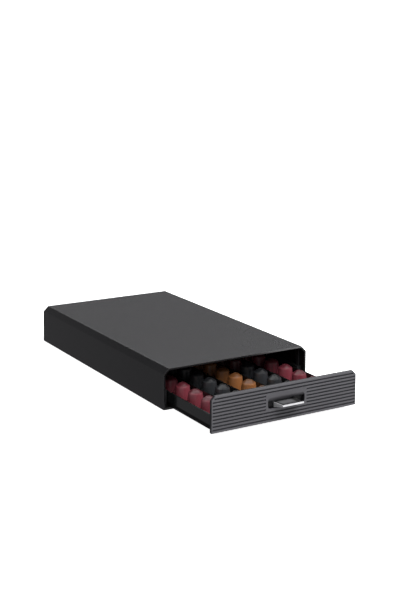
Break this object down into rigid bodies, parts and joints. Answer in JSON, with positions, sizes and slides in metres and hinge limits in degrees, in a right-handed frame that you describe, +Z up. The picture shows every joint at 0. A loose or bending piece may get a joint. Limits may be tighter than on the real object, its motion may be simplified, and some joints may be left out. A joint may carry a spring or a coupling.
{
  "type": "coffee capsule drawer organizer",
  "caption": "Flat case with a sliding drawer: grooved front, finger pocket with a metal pull, and a divided tray of coffee capsules standing in columns.",
  "frame": {"origin": "middle of the overall footprint in the stored pose, at the underside of the feet", "axes": "+Z up; +Y towards the rear panel, so the drawer pulls out along -Y; +X to the right seen from the front"},
  "size_m": [0.26, 0.5872, 0.0637],
  "materials": {
    "case_plastic": "fine matte texture",
    "base_plastic": "plain matte",
    "guide_plastic": "smooth matte",
    "foot_rubber": "matte",
    "screw_steel": "plain",
    "tray_plastic": "plain matte",
    "runner_plastic": "smooth",
    "fascia_plastic": "fine matte texture",
    "handle_metal": "polished",
    "capsule_rose": "satin, coloured",
    "capsule_slate": "satin, coloured",
    "capsule_gold": "satin, coloured",
    "capsule_burgundy": "satin, coloured",
    "lid_rose": "satin, coloured",
    "lid_slate": "satin, coloured",
    "lid_gold": "satin, coloured",
    "lid_burgundy": "satin, coloured"
  },
  "bodies": {
    "case": {"case_shell": "case_plastic", "rear_panel": "case_plastic", "base_plate": "base_plastic", "guide_left": "guide_plastic", "guide_right": "guide_plastic", "rubber_feet": "foot_rubber", "base_screws": "screw_steel", "rear_screws": "screw_steel"},
    "drawer": {"tray": "tray_plastic", "divider_1": "tray_plastic", "divider_2": "tray_plastic", "divider_3": "tray_plastic", "divider_4": "tray_plastic", "runner_left": "runner_plastic", "runner_right": "runner_plastic", "fascia": "fascia_plastic", "fascia_screws": "screw_steel", "handle": "handle_metal", "handle_screws": "screw_steel", "capsule_cups_rose_left": "capsule_rose", "capsule_cups_slate_left": "capsule_slate", "capsule_cups_gold": "capsule_gold", "capsule_cups_slate_right": "capsule_slate", "capsule_cups_burgundy": "capsule_burgundy", "capsule_cups_rose_right": "capsule_rose", "capsule_lids_rose_left": "lid_rose", "capsule_lids_slate_left": "lid_slate", "capsule_lids_gold": "lid_gold", "capsule_lids_slate_right": "lid_slate", "capsule_lids_burgundy": "lid_burgundy", "capsule_lids_rose_right": "lid_rose"}
  },
  "joints": [
    {"name": "drawer_slide", "type": "slide", "parent": "case", "child": "drawer", "axis": [0, -1, 0], "range_m": [-0.1335, 0.1665]}
  ]
}
